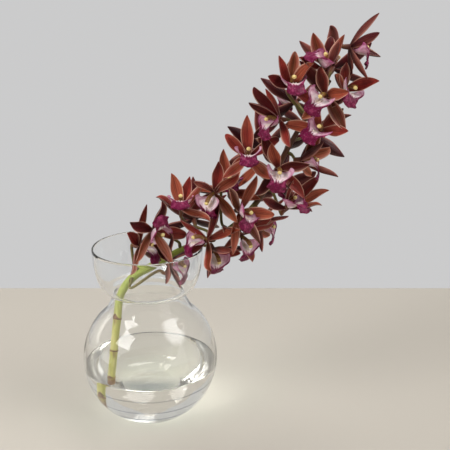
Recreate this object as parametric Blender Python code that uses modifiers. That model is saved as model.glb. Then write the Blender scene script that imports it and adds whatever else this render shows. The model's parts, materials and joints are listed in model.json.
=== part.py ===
"""A cut cymbidium spray standing in a clear glass vase that is part filled with water.

Sizes are in metres, +Z up, and the origin is the middle of the vase's foot. Seen from the front,
that is looking along +Y, the spray leans over the vase's right-hand rim. The spike is one grown
stem. Each flower has two solids of its own: the pedicel, column, three sepals and two petals,
which are grown as one, and the lip. The six flowers behind the spike are one solid each.
The vase is one glass vessel, built as eight rings.
"""
import math

import bmesh
import bpy
from mathutils import Matrix, Vector
from mathutils.bvhtree import BVHTree

MM = 0.001
GAP = 0.0003                 # clearance kept between pieces that touch

# ---- vase: a glass ball on a flat foot, a narrow neck and a bowl-shaped cup ----
FOOT_RADIUS = 0.0316
BALL_RADIUS = 0.075
BALL_CENTRE = 0.068          # height of the ball's centre
GLASS = 0.0025               # wall thickness
GLASS_FLOOR = 0.009          # thickness of the glass under the water
NECK_RADIUS = 0.0387
NECK_HEIGHT = 0.147
CUP_RADIUS = 0.060           # at the rim
CUP_HEIGHT = 0.197           # the rim's height, and the vase's
SHOULDER = 50                # degrees above the ball's middle where the neck's curve begins
VASE_STEPS = 32
HAIRLINE = 0.0001            # between two of the vase's rings
# the vase's rings from the rim down, and the point of its outer profile that each one ends at
VASE_RINGS = [
    ("vase_rim", 3), ("vase_cup", 5), ("vase_neck", 8), ("vase_shoulder", 10), ("vase_ball", 12),
    ("vase_belly", 14), ("vase_base", 16), ("vase_foot", 18),
]

# ---- water ----
WATER_LEVEL = 0.063

# ---- stem: its route through the vase, over the rim and on to the topmost flower ----
# (x, y, z, radius) in millimetres; above the neck it lies in the plane y = 0
STEM_ROUTE = [
    (-43, -19.5, 20, 4.6), (-42.5, -17, 42, 4.4), (-41, -13.5, 66, 4.3), (-38, -9, 92, 4.4),
    (-35, -4, 117, 4.4), (-31, -1, 142, 4.4), (-17, 0, 162, 4.5), (6, 0, 176, 4.3),
    (31, 0, 190.5, 3.9), (57, 0, 202.3, 3.6), (84, 0, 214, 3.4), (105, 0, 232, 3.2),
    (123, 0, 255, 3.0), (141, 0, 288, 2.8), (160, 0, 325, 2.5), (178, 0, 353, 2.2),
    (191, 0, 376, 1.9),
]

# ---- one flower, in its own frame ----
# where each tepal usually points: clock in degrees from the top, clockwise seen from the front,
# spread in degrees out from the way the flower faces, and length in millimetres
TEPALS = {
    "dorsal": dict(clock=0, spread=54, length=42),
    "left_petal": dict(clock=-60, spread=68, length=41),
    "right_petal": dict(clock=60, spread=68, length=41),
    "left_sepal": dict(clock=-126, spread=74, length=40),
    "right_sepal": dict(clock=126, spread=74, length=40),
}
TEPAL_WIDTH = 0.0126
TEPAL_THICK = 0.0011
TEPAL_ARCH = 0.09            # how far a tepal arches outwards between its ends, per length
TEPAL_FOLD = 0.34            # how far its edges rise beside its middle, per half width
TEPAL_ROWS = 5
TEPAL_COLUMNS = 2
LIP_THICK = 0.0012
LIP_ROWS = 6
LIP_COLUMNS = 4
LOOSE_LIPS = 22              # the flowers whose lip is a piece of its own; further back it is one
LIP_ROOT = 0.25              # with the flower, and this share of the way out from the hub it starts
HUB_RADIUS = 0.0034
PEDICEL_RADIUS = 0.0016
OVARY = 0.006                # straight stretch of the pedicel behind the hub
COLUMN_LENGTH = 0.0185

# ---- turning a tepal aside where another piece is in its way ----
TURN_STEP = 3                # degrees between the turns that are tried
TURN_RINGS = 11              # how many such steps away from the wished way at most
TURN_WAYS = 12               # directions tried in each ring
SHARES = (1.0, 0.9, 0.8, 0.65)               # of the wished length
MARGIN = 0.006               # added round a piece when the ones near a tepal are picked
TEPAL_REACH = 0.045          # how far from its middle a turned tepal could touch anything

# ---- the flowers, from the spike's tip down, all in millimetres and degrees ----
# hub: where the tepals join; leaves: x on the stem where the pedicel leaves it; faces: azimuth
# and elevation, azimuth 0 to the front and 90 to the right; roll: clockwise seen from the
# flower's front; then the tip of each tepal that doesn't point the usual way, from the hub
FLOWERS = [
    dict(hub=(208, -4, 409), leaves=191, faces=(85, -3), roll=0, dorsal=(26, -12, 33),
         left_petal=(27, -18, 15), right_petal=(34, 6, -10), left_sepal=(17, -18, -29),
         right_sepal=(8, 10, -30)),
    dict(hub=(184, -20, 387), leaves=190, faces=(-20, 66), roll=60, dorsal=(17, 5, 34),
         left_petal=(5, 15, 36), right_petal=(7, -22, 30), left_sepal=(-13, 10, 36),
         right_sepal=(-28, -10, 15)),
    dict(hub=(149, -20, 371), leaves=170, faces=(10, 38), roll=0, dorsal=(5, 14, 37),
         left_petal=(-13, -11, 31), right_petal=(20, -14, 25), left_sepal=(-23, -18, 14)),
    dict(hub=(184, -24, 364), leaves=178, faces=(-25, 0), roll=30, dorsal=(-10, -9, 28),
         right_petal=(17, -23, 6), left_sepal=(-24, -14, -22)),
    dict(hub=(204, -8, 367), leaves=182, faces=(30, 10), roll=35, dorsal=(-1, -14, 28),
         left_petal=(-12, -19, 17), right_petal=(4, 18, 24), left_sepal=(-14, -20, -15),
         right_sepal=(31, -20, 11)),
    dict(hub=(140, -16, 338), leaves=163, faces=(-55, 5), roll=0, dorsal=(-33, -17, 19),
         left_petal=(-31, -1, 32), right_petal=(-14, 16, 29)),
    dict(hub=(181, -20, 328), leaves=161, faces=(-15, 20), roll=40, dorsal=(23, 8, 20),
         right_petal=(24, -20, 3), right_sepal=(-14, 10, -28)),
    dict(hub=(139, -18, 288), leaves=140, faces=(0, -3), roll=10, dorsal=(-9, -18, 29),
         right_petal=(29, -19, 9), left_sepal=(-24, -21, -24)),
    dict(hub=(148, -10, 243), leaves=127, faces=(50, 48), roll=0, dorsal=(36, 6, 35),
         left_petal=(6, -14, 34), right_petal=(45, 4, 21), left_sepal=(36, -17, 13),
         right_sepal=(-25, -20, 16)),
    dict(hub=(99, -20, 243), leaves=104, faces=(40, 5), roll=35, dorsal=(19, 0, 37),
         right_petal=(37, -13, -1), left_sepal=(-6, -15, -42)),
    dict(hub=(73, -14, 262), leaves=88, faces=(-30, -30), roll=0, dorsal=(5, -12, 34),
         left_petal=(-20, -24, 17), right_petal=(25, -17, 22)),
    dict(hub=(38, -12, 243), leaves=56, faces=(0, 62), roll=0, dorsal=(9, 14, 31),
         left_petal=(-9, 9, 36), right_petal=(25, -4, 30), left_sepal=(-25, -7, 18)),
    dict(hub=(8, -20, 222), leaves=38, faces=(40, 0), roll=170, left_sepal=(15, -8, 32)),
    dict(hub=(66, -24, 213), leaves=75, faces=(-60, 15), roll=10, dorsal=(12, -2, 43),
         left_petal=(-29, -2, 22), right_petal=(33, -4, 13), left_sepal=(-26, -6, -14)),
    dict(hub=(-8, -8, 201), leaves=-9, faces=(60, 10), roll=0, dorsal=(9, 0, 45),
         left_petal=(-9, -11, 19)),
    dict(hub=(24, -14, 185), leaves=-17, faces=(70, -10), roll=0, dorsal=(8, -10, 36),
         left_petal=(-12, -10, 24), right_petal=(30, -8, 16), left_sepal=(-2, -12, -21),
         right_sepal=(13, -8, -26)),
    dict(hub=(71, -12, 199), leaves=61, faces=(30, -40), roll=0, left_petal=(3, 8, -24),
         left_sepal=(-5, -17, -27), right_sepal=(30, 6, -8)),
    dict(hub=(101, -8, 213), leaves=98, faces=(40, -30), roll=0, left_petal=(-18, -20, 14),
         right_sepal=(15, -11, -28)),
    dict(hub=(120, 16, 219), leaves=114, faces=(75, -10), roll=0, right_petal=(34, 0, 7)),
    dict(hub=(162, -4, 294), leaves=148, faces=(80, 0), roll=0, left_petal=(22, -22, 22),
         right_petal=(37, 10, 9), left_sepal=(40, -11, -14)),
    dict(hub=(89, 10, 257), leaves=104, faces=(0, 60), roll=0, dorsal=(11, 7, 37),
         left_petal=(-8, 9, 43), right_petal=(32, -2, 30)),
    dict(hub=(108, -8, 297), leaves=132, faces=(0, 40), roll=0, dorsal=(-1, 4, 43),
         left_petal=(-24, -2, 27)),
    dict(hub=(196, 20, 385), leaves=186, faces=(150, 35), roll=0),
    dict(hub=(158, 22, 350), leaves=170, faces=(205, 15), roll=0),
    dict(hub=(174, 22, 318), leaves=156, faces=(150, 10), roll=0),
    dict(hub=(124, 22, 300), leaves=144, faces=(205, 20), roll=0),
    dict(hub=(142, 24, 258), leaves=130, faces=(150, 5), roll=0),
    dict(hub=(50, 24, 220), leaves=68, faces=(195, 30), roll=0),
]

COLOURS = {                  # linear base colour, roughness
    "glass": ((0.90, 0.95, 0.94), 0.03),
    "water": ((0.86, 0.93, 0.93), 0.02),
    "stem": ((0.30, 0.36, 0.06), 0.45),
    "tepals": ((0.27, 0.045, 0.025), 0.42),
    "lip": ((0.42, 0.12, 0.24), 0.45),
}


# ---------------------------------------------------------------- scene helpers

def empty_scene():
    for old in list(bpy.data.objects):
        bpy.data.objects.remove(old, do_unlink=True)


def new_collection(name):
    group = bpy.data.collections.new(name)
    bpy.context.scene.collection.children.link(group)
    return group


def material(slot, name):
    colour, roughness = COLOURS[slot]
    made = bpy.data.materials.new(name)
    made.use_nodes = True
    shader = made.node_tree.nodes["Principled BSDF"]
    shader.inputs["Base Color"].default_value = (*colour, 1.0)
    shader.inputs["Roughness"].default_value = roughness
    shader.inputs["Metallic"].default_value = 0.0
    if slot in ("glass", "water"):
        shader.inputs["Transmission Weight"].default_value = 0.95
        shader.inputs["IOR"].default_value = 1.5 if slot == "glass" else 1.33
    made.diffuse_color = (*colour, 1.0)
    return made


def mesh_object(name, bm, group, slot):
    mesh = bpy.data.meshes.new(name)
    bm.to_mesh(mesh)
    bm.free()
    made = bpy.data.objects.new(name, mesh)
    group.objects.link(made)
    if slot:
        mesh.materials.append(material(slot, name + "_finish"))
    return made


def cutter(made, group):
    """Move a piece that only cuts or joins another into the cutters' collection."""
    for home in list(made.users_collection):
        home.objects.unlink(made)
    group.objects.link(made)
    made.hide_render = True
    made.display_type = "WIRE"
    return made


def turned(name, profile, group, slot, steps=VASE_STEPS):
    """Spin a profile of (radius, height) points, outer side first from the top, about Z."""
    bm = bmesh.new()
    verts = [bm.verts.new((radius, 0.0, height)) for radius, height in profile]
    if profile[0] == profile[-1]:
        bm.verts.remove(verts.pop())
        verts.append(verts[0])
    for a, b in zip(verts, verts[1:]):
        bm.edges.new((a, b))
    made = mesh_object(name, bm, group, slot)
    screw = made.modifiers.new("turn", "SCREW")
    screw.axis = "Z"
    screw.steps = steps
    screw.render_steps = steps
    screw.use_merge_vertices = True
    screw.merge_threshold = 0.00001
    return made


def tube(name, points, radii, group, slot, sides=1):
    """A round tube along points: a curve with filled caps, made into a mesh with welded caps."""
    data = bpy.data.curves.new(name, "CURVE")
    data.dimensions = "3D"
    data.bevel_depth = 1.0
    data.bevel_resolution = sides
    data.use_fill_caps = True
    spline = data.splines.new("POLY")
    spline.points.add(len(points) - 1)
    for knot, point, radius in zip(spline.points, points, radii):
        knot.co = (*point, 1.0)
        knot.radius = radius
    curve = bpy.data.objects.new(name + "_route", data)
    group.objects.link(curve)
    seen = curve.evaluated_get(bpy.context.evaluated_depsgraph_get())
    mesh = bpy.data.meshes.new_from_object(seen)
    bm = bmesh.new()
    bm.from_mesh(mesh)
    bmesh.ops.remove_doubles(bm, verts=bm.verts, dist=0.000005)
    bpy.data.meshes.remove(mesh)
    made = mesh_object(name, bm, group, slot)
    made.matrix_world = curve.matrix_world
    bpy.data.objects.remove(curve, do_unlink=True)
    return made


# ---------------------------------------------------------------- smooth routes

def smooth(points, per_span):
    """Points read from a Catmull-Rom curve through the given ones."""
    ends = [2 * points[0] - points[1], *points, 2 * points[-1] - points[-2]]
    route = []
    for a, b, c, d in zip(ends, ends[1:], ends[2:], ends[3:]):
        for step in range(per_span):
            t = step / per_span
            route.append(0.5 * (2 * b + (c - a) * t + (2 * a - 5 * b + 4 * c - d) * t ** 2
                                + (3 * b - a - 3 * c + d) * t ** 3))
    route.append(points[-1])
    return route


def stem_route(per_span=2):
    """The stem's centre line and its radius at each point."""
    knots = smooth([Vector(knot) * MM for knot in STEM_ROUTE], per_span)
    return [knot.xyz for knot in knots], [knot.w for knot in knots]


def stem_at(x):
    """The stem's centre, direction and radius where it reaches this x, above the vase's neck."""
    points, radii = stem_route(8)
    best = min(range(len(points) // 3, len(points)), key=lambda i: abs(points[i].x - x))
    return points[best], (points[best] - points[best - 1]).normalized(), radii[best]


# ---------------------------------------------------------------- vase and water

def outer_profile():
    """(radius, height) from the rim down the cup, round the neck and the ball to the foot."""
    points = []
    for step in range(6):                               # the cup: about a quarter of an ellipse
        angle = math.radians(18 * step)
        points.append((NECK_RADIUS + (CUP_RADIUS - NECK_RADIUS) * math.cos(angle) ** 0.8,
                       CUP_HEIGHT - (CUP_HEIGHT - NECK_HEIGHT) * math.sin(angle)))
    top = math.radians(SHOULDER)
    shoulder = (BALL_RADIUS * math.cos(top), BALL_CENTRE + BALL_RADIUS * math.sin(top))
    for share in (0.35, 0.7):                           # the neck's hollow
        points.append((NECK_RADIUS + (shoulder[0] - NECK_RADIUS) * share ** 1.6,
                       NECK_HEIGHT + (shoulder[1] - NECK_HEIGHT) * share))
    foot = -math.degrees(math.acos(FOOT_RADIUS / BALL_RADIUS))
    count = 10
    for step in range(count + 1):                       # the ball
        angle = math.radians(SHOULDER + (foot - SHOULDER) * step / count)
        points.append((BALL_RADIUS * math.cos(angle), BALL_CENTRE + BALL_RADIUS * math.sin(angle)))
    points[-1] = (FOOT_RADIUS, 0.0)
    return points


def inner_profile(inset, floor):
    """The outer profile moved inwards by inset and cut off flat at the floor's height."""
    outer = outer_profile()
    points = []
    for before, here, after in zip(outer, outer[1:], outer[2:]):
        run = Vector((after[0] - before[0], after[1] - before[1])).normalized()
        radius = here[0] + run.y * inset
        height = here[1] - run.x * inset
        if height > floor + 0.0005:
            points.append((radius, height))
    below = math.sqrt((BALL_RADIUS - inset) ** 2 - (BALL_CENTRE - floor) ** 2)
    points.append((below, floor))
    return points


def beside(point, other):
    """A point one hairline away from this one, towards the other."""
    way = Vector((other[0] - point[0], other[1] - point[1])).normalized() * HAIRLINE
    return point[0] + way.x, point[1] + way.y


def build_vase(group):
    """The one glass vase, as a stack of rings that each follow a part of its profile."""
    outer = outer_profile()
    inner = inner_profile(GLASS, GLASS_FLOOR)
    rim = [(CUP_RADIUS - GLASS, CUP_HEIGHT - 0.0004),
           (CUP_RADIUS - GLASS / 2, CUP_HEIGHT + GLASS * 0.35)]
    first = 0
    for name, last in VASE_RINGS:
        outside = outer[first:last + 1]
        inside = inner[max(first - 1, 0):last]
        if first == 0:
            inside = [*reversed(inside), *rim]
        else:
            outside[0] = beside(outside[0], outside[1])
            inside[0] = beside(inside[0], inside[1])
            inside = inside[::-1]
        if last == len(outer) - 1:
            profile = [(0.0, GLASS_FLOOR), *inside, *outside, (0.0, 0.0)]
        else:
            profile = [*inside, *outside, inside[0]]
        turned(name, profile, group, "glass")
        first = last


def build_water(group, hidden):
    inset = GLASS + GAP
    inner = inner_profile(inset, GLASS_FLOOR + GAP)
    wall = [point for point in inner if point[1] < WATER_LEVEL - 0.001]
    above, below = inner[-len(wall) - 1], wall[0]
    share = (WATER_LEVEL - below[1]) / (above[1] - below[1])
    top = below[0] + (above[0] - below[0]) * share
    profile = [(0.0, WATER_LEVEL), (top, WATER_LEVEL), *wall, (0.0, GLASS_FLOOR + GAP)]
    water = turned("water", profile, group, "water")
    points, radii = stem_route()
    low = [i for i, point in enumerate(points) if point.z < WATER_LEVEL + 0.02]
    way = [points[i] for i in low]
    way[0] = way[0] - (way[1] - way[0]).normalized() * GAP
    socket = tube("stem_socket", way, [radii[i] + GAP for i in low], group, None, sides=2)
    cut = water.modifiers.new("stem_socket", "BOOLEAN")
    cut.operation = "DIFFERENCE"
    cut.object = cutter(socket, hidden)
    return water


def build_stem(group):
    points, radii = stem_route()
    return tube("stem", points, radii, group, "stem", sides=2)


# ---------------------------------------------------------------- flower geometry

def flower_frame(flower):
    """Hub, the way the flower faces, its top and its right-hand side seen from the front."""
    azimuth, elevation = (math.radians(angle) for angle in flower["faces"])
    face = Vector((math.sin(azimuth) * math.cos(elevation), -math.cos(azimuth) * math.cos(elevation),
                   math.sin(elevation)))
    upright = (Vector((0, 0, 1)) - face * face.z).normalized()
    right = upright.cross(face)
    roll = math.radians(flower["roll"])
    top = upright * math.cos(roll) + right * math.sin(roll)
    return Vector(flower["hub"]) * MM, face, top, top.cross(face)


def tepal_tip(flower, frame, name):
    """Where a tepal ends, from the hub."""
    if name in flower:
        return Vector(flower[name]) * MM
    _, face, top, right = frame
    usual = TEPALS[name]
    clock, spread = math.radians(usual["clock"]), math.radians(usual["spread"])
    outward = top * math.cos(clock) + right * math.sin(clock)
    return (face * math.cos(spread) + outward * math.sin(spread)) * usual["length"] * MM


def tepal_axes(frame, tip):
    """A tepal's own directions: along it, towards the flower's front, and across it."""
    along = tip.normalized()
    inward = (frame[1] - along * frame[1].dot(along)).normalized()
    return along, inward, along.cross(inward)


def tepal_share(t):
    """Half width of a tepal along its length, as a share of its widest."""
    if t < 0.55:
        return 0.24 + 0.76 * math.sin(math.pi / 2 * t / 0.55)
    return max(math.sqrt(max(0.0, 1 - ((t - 0.55) / 0.45) ** 2.2)), 0.10)


def tepal_grid(frame, tip, rows=TEPAL_ROWS, columns=TEPAL_COLUMNS):
    """Points of a tepal's middle surface, row by row from the hub to the tip."""
    along, inward, across = tepal_axes(frame, tip)
    length = tip.length
    rings = []
    for row in range(rows + 1):
        t = (row / rows) ** 1.3                         # closer rings near the hub
        centre = frame[0] + tip * t - inward * TEPAL_ARCH * length * math.sin(math.pi * t)
        slope = TEPAL_ARCH * math.pi * math.cos(math.pi * t)
        lift = (inward + along * slope).normalized()
        half = TEPAL_WIDTH / 2 * tepal_share(t)
        ring = []
        for column in range(columns + 1):
            side = 2 * column / columns - 1
            fold = TEPAL_FOLD * half * side * side * min(1.0, 4 * t)
            ring.append(centre + across * half * side + lift * fold)
        rings.append(ring)
    return rings


def lip_grid(frame, rows=LIP_ROWS, columns=LIP_COLUMNS):
    """Points of the lip: a trough with raised side lobes, then a mid lobe curled downwards."""
    hub, face, top, right = frame
    outline = [                # share along, half width round the trough, half angle of the trough
        (0.00, 2.2, 50), (0.17, 11.0, 76), (0.38, 15.5, 84), (0.55, 11.0, 64),
        (0.68, 7.5, 18), (0.84, 8.5, -14), (1.00, 3.4, -10),
    ]
    spine = [                  # forward and upward, millimetres, at the same shares
        (3.9, -2.4), (7.6, -4.6), (12.4, -5.4), (16.4, -5.8), (19.2, -8.0), (20.6, -12.0), (19.8, -16.2),
    ]
    rings = []
    for row in range(rows + 1):
        place = row / rows * (len(outline) - 1)
        low = min(int(place), len(outline) - 2)
        part = place - low
        _, wide, angle = (a + (b - a) * part for a, b in zip(outline[low], outline[low + 1]))
        ahead, above = (a + (b - a) * part for a, b in zip(spine[low], spine[low + 1]))
        run = Vector((spine[low + 1][0] - spine[low][0], spine[low + 1][1] - spine[low][1])).normalized()
        rise = face * -run.y + top * run.x
        half_angle = math.radians(angle)
        ring = []
        for column in range(columns + 1):
            side = 2 * column / columns - 1
            bow = wide * MM / half_angle
            turn = half_angle * side
            ring.append(hub + (face * ahead + top * above) * MM + right * bow * math.sin(turn)
                        + rise * bow * (1 - math.cos(turn)))
        rings.append(ring)
    return rings


def column_route(frame):
    """Centre line and radii of the arched column with its anther cap at the tip."""
    hub, face, top, _ = frame
    shape = [                  # share along, rise and radius in millimetres
        (0.205, 0.3, 1.5), (0.35, 1.5, 1.9), (0.60, 2.3, 2.2), (0.82, 1.9, 2.5), (0.95, 0.9, 2.1),
        (1.00, 0.4, 1.0),
    ]
    points = [hub + face * COLUMN_LENGTH * along + top * rise * MM for along, rise, _ in shape]
    return points, [radius * MM for _, _, radius in shape]


def pedicel_route(flower, frame, per_span=1):
    """Centre line and radii from the stem's skin to the hub, thicker at the ovary."""
    hub, face, _, _ = frame
    start, along, stem_radius = stem_at(flower["leaves"] * MM)
    reach = (hub - start).length
    out = hub - face * reach * 0.35 - start
    out = (out - along * out.dot(along)).normalized()
    begin = start + out * (stem_radius + 2 * GAP)
    points = smooth([begin, begin + out * reach * 0.18, hub - face * reach * 0.30,
                     hub - face * OVARY, hub, hub + face * HUB_RADIUS / 2], per_span)
    last = len(points) - 1
    radii = []
    for i in range(last + 1):
        t = i / last
        radii.append(PEDICEL_RADIUS + (HUB_RADIUS - PEDICEL_RADIUS) * max(0.0, (t - 0.35) / 0.55) ** 1.2)
    radii[-1] = HUB_RADIUS * 0.72
    radii[-2] = HUB_RADIUS
    return points, radii


# ---------------------------------------------------------------- keeping tepals clear of others

def sheet_tree(rings, thick):
    """A search tree of a sheet's two faces and rim, thick apart."""
    rows, columns = len(rings), len(rings[0])
    upper, lower = [], []
    for r in range(rows):
        for c in range(columns):
            along = rings[min(r + 1, rows - 1)][c] - rings[max(r - 1, 0)][c]
            across = rings[r][min(c + 1, columns - 1)] - rings[r][max(c - 1, 0)]
            normal = along.cross(across).normalized() * thick / 2
            upper.append(rings[r][c] + normal)
            lower.append(rings[r][c] - normal)
    count = rows * columns
    faces = []
    for r in range(rows - 1):
        for c in range(columns - 1):
            a = r * columns + c
            quad = (a, a + 1, a + columns + 1, a + columns)
            faces.append(quad)
            faces.append(tuple(i + count for i in reversed(quad)))
    edge = [c for c in range(columns)]
    edge += [r * columns + columns - 1 for r in range(1, rows)]
    edge += [(rows - 1) * columns + c for c in range(columns - 2, -1, -1)]
    edge += [r * columns for r in range(rows - 2, 0, -1)]
    for a, b in zip(edge, edge[1:] + edge[:1]):
        faces.append((a, a + count, b + count, b))
    return BVHTree.FromPolygons(upper + lower, faces)


def rod_tree(points, radii, spare, sides=8):
    """A search tree of a tube around points, larger than its radii by spare."""
    verts, faces = [], []
    for i, point in enumerate(points):
        along = (points[min(i + 1, len(points) - 1)] - points[max(i - 1, 0)]).normalized()
        first = along.orthogonal().normalized()
        second = along.cross(first)
        for k in range(sides):
            angle = 2 * math.pi * k / sides
            side = first * math.cos(angle) + second * math.sin(angle)
            verts.append(point + side * (radii[i] + spare))
    for i in range(len(points) - 1):
        for k in range(sides):
            a, b = i * sides + k, i * sides + (k + 1) % sides
            faces.append((a, b, b + sides, a + sides))
    return BVHTree.FromPolygons(verts, faces)


def vase_tree(spare):
    """A search tree of the cup and neck, thicker than the glass by spare on both sides."""
    outer = [point for point in outer_profile() if point[1] > BALL_CENTRE]
    inner = [(radius - GLASS - spare, height) for radius, height in outer]
    ring = [(radius + spare, height) for radius, height in outer]
    ring = [(CUP_RADIUS - GLASS / 2, CUP_HEIGHT + GLASS), *ring, *reversed(inner)]
    sides = 48
    verts, faces = [], []
    for radius, height in ring:
        for k in range(sides):
            angle = 2 * math.pi * k / sides
            verts.append(Vector((radius * math.cos(angle), radius * math.sin(angle), height)))
    for i in range(len(ring)):
        j = (i + 1) % len(ring)
        for k in range(sides):
            n = (k + 1) % sides
            faces.append((i * sides + k, i * sides + n, j * sides + n, j * sides + k))
    return BVHTree.FromPolygons(verts, faces)


def small_turns():
    """Turns in degrees (forward, sideways) and shares of the length to try, the smallest first."""
    yield 0.0, 0.0, 1.0
    for share in SHARES:
        for ring in range(1, TURN_RINGS + 1):
            for way in range(TURN_WAYS):
                angle = 2 * math.pi * way / TURN_WAYS
                turn = TURN_STEP * ring
                yield turn * math.cos(angle), turn * math.sin(angle), share


def turned_tip(frame, tip, forward, sideways, share):
    _, inward, across = tepal_axes(frame, tip)
    turn = Matrix.Rotation(math.radians(forward), 3, across) @ Matrix.Rotation(
        math.radians(sideways), 3, inward)
    return turn @ tip * share


def clear(free, whole, owner, fixed, near):
    """Whether a tepal stands clear; beside its own sisters only its free part has to."""
    if any(free.overlap(other) for other in fixed):
        return False
    for other_owner, kind, tree, _, _ in near:
        if owner == other_owner and kind == "pedicel":
            continue
        if (free if owner == other_owner and kind == "tepal" else whole).overlap(tree):
            return False
    return True


def body(owner, kind, tree, points):
    """A piece to keep clear of, with a sphere around it that rules out most others at once."""
    middle = sum(points, Vector()) / len(points)
    return owner, kind, tree, middle, max((point - middle).length for point in points) + MARGIN


def settle(flowers):
    """Every flower's tepal tips, each turned just enough to clear what stands around it.

    Gives a list of {tepal name: tip} in the order of the flowers. Lips, columns, pedicels, the
    stem and the vase stay where they are; of two tepals that would cross, the later one yields.
    """
    points, radii = stem_route()
    fixed = [rod_tree(points, radii, 2 * GAP), vase_tree(2 * GAP)]
    frames = [flower_frame(flower) for flower in flowers]
    placed = []
    for index, (flower, frame) in enumerate(zip(flowers, frames)):
        rings = lip_grid(frame)
        placed.append(body(index, "lip", sheet_tree(rings, LIP_THICK + 2 * GAP), sum(rings, [])))
        points, radii = column_route(frame)
        placed.append(body(index, "column", rod_tree(points, radii, GAP), points))
        points, radii = pedicel_route(flower, frame)
        placed.append(body(index, "pedicel", rod_tree(points, radii, 2 * GAP), points))
    settled = []
    for index, (flower, frame) in enumerate(zip(flowers, frames)):
        chosen = {}
        for name in TEPALS:
            wished = tepal_tip(flower, frame, name)
            middle = frame[0] + wished / 2
            near = [other for other in placed if (other[3] - middle).length < other[4] + TEPAL_REACH]
            for turn in small_turns():
                tip = turned_tip(frame, wished, *turn)
                rings = tepal_grid(frame, tip)
                free = sheet_tree(rings[1:], TEPAL_THICK + 2 * GAP)
                whole = sheet_tree(rings, TEPAL_THICK + 2 * GAP)
                if clear(free, whole, index, fixed, near):
                    break
            else:
                print("flower %d: no clear place for its %s" % (index + 1, name))
            chosen[name] = tip
            placed.append(body(index, "tepal", free, sum(rings[1:], [])))
        settled.append(chosen)
    return settled


# ---------------------------------------------------------------- flower pieces

def sheet(name, rings, thick, group, slot):
    """A thin solid: an open grid of faces with Solidify."""
    bm = bmesh.new()
    rows = [[bm.verts.new(point) for point in ring] for ring in rings]
    for lower, upper in zip(rows, rows[1:]):
        for c in range(len(lower) - 1):
            bm.faces.new((lower[c], lower[c + 1], upper[c + 1], upper[c]))
    made = mesh_object(name, bm, group, slot)
    solid = made.modifiers.new("thickness", "SOLIDIFY")
    solid.thickness = thick
    solid.offset = 0.0
    return made


def join(made, others, name, hidden):
    """Union made with the others, which go into a hidden collection of their own."""
    group = bpy.data.collections.new(name + "_joined")
    hidden.children.link(group)
    for other in others:
        cutter(other, group)
    union = made.modifiers.new("grown_together", "BOOLEAN")
    union.operation = "UNION"
    union.solver = "MANIFOLD"    # EXACT leaves crumbs where the thin tepals cross at the hub
    union.operand_type = "COLLECTION"
    union.collection = group


def build_flower(number, flower, tips, group):
    """One flower's pedicel, what is still to be joined into it, and the name they share."""
    frame = flower_frame(flower)
    name = "flower_%02d" % number
    points, radii = pedicel_route(flower, frame)
    pedicel = tube(name + "_tepals", points, radii, group, "tepals")
    grown = [sheet(name + "_" + part, tepal_grid(frame, tip), TEPAL_THICK, group, None)
             for part, tip in tips.items()]
    points, radii = column_route(frame)
    points[0] = frame[0]                                # its foot reaches into the hub
    grown.append(tube(name + "_column", points, radii, group, None))
    lip = lip_grid(frame)
    if number > LOOSE_LIPS:
        root = [frame[0] + (point - frame[0]) * LIP_ROOT for point in lip[0]]
        grown.append(sheet(name + "_lip", [root, *lip], LIP_THICK, group, None))
    else:
        sheet(name + "_lip", lip, LIP_THICK, group, "lip")
    return pedicel, grown, name


def main():
    empty_scene()
    parts = new_collection("orchid_spray_in_glass_vase")
    hidden = new_collection("cutters")
    build_vase(parts)
    build_water(parts, hidden)
    build_stem(parts)
    joints = [build_flower(number, flower, tips, parts)
              for number, (flower, tips) in enumerate(zip(FLOWERS, settle(FLOWERS)), 1)]
    for pedicel, grown, name in joints:
        join(pedicel, grown, name, hidden)


main()
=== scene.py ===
"""The looks of a cymbidium spray in a clear glass vase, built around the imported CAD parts.

Every flower, the stem, the vase and the water get a finely modelled piece that stands for the
CAD part. The routes and the vase's profile are the CAD source's own, so that the fine pieces follow
the same layout: metres, +Z up, the origin under the middle of the vase's foot.
"""
import json
import math
import random

import bmesh
import bpy
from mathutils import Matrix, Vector

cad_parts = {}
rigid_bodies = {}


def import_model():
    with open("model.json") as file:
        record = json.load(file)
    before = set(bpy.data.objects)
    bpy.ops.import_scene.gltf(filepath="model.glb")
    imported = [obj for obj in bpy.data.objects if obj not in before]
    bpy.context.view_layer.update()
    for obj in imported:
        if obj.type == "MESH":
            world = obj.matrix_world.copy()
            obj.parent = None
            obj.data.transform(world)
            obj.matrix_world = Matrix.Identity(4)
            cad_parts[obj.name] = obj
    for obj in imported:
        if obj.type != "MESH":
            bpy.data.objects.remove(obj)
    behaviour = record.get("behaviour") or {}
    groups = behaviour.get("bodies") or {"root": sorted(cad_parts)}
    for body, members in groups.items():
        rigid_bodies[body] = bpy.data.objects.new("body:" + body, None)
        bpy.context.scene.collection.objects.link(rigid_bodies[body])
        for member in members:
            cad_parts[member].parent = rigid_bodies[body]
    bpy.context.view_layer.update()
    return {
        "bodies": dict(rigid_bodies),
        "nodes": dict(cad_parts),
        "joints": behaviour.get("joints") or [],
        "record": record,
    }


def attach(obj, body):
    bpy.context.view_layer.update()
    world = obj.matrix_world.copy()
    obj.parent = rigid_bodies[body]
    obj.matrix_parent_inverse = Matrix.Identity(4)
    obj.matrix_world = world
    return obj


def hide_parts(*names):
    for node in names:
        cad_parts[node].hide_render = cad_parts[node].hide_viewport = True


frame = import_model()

MM = 0.001
GAP = 0.0003                 # half of the CAD's gap between the stem and a pedicel

# ================================================================ layout, as in the CAD source

FOOT_RADIUS = 0.0316
BALL_RADIUS = 0.075
BALL_CENTRE = 0.068
GLASS = 0.0025
NECK_RADIUS = 0.0387
NECK_HEIGHT = 0.147
CUP_RADIUS = 0.060
CUP_HEIGHT = 0.197
SHOULDER = 50                # degrees above the ball's middle where the neck begins
BALL_STEPS = 10
WATER_LEVEL = 0.063

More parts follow.
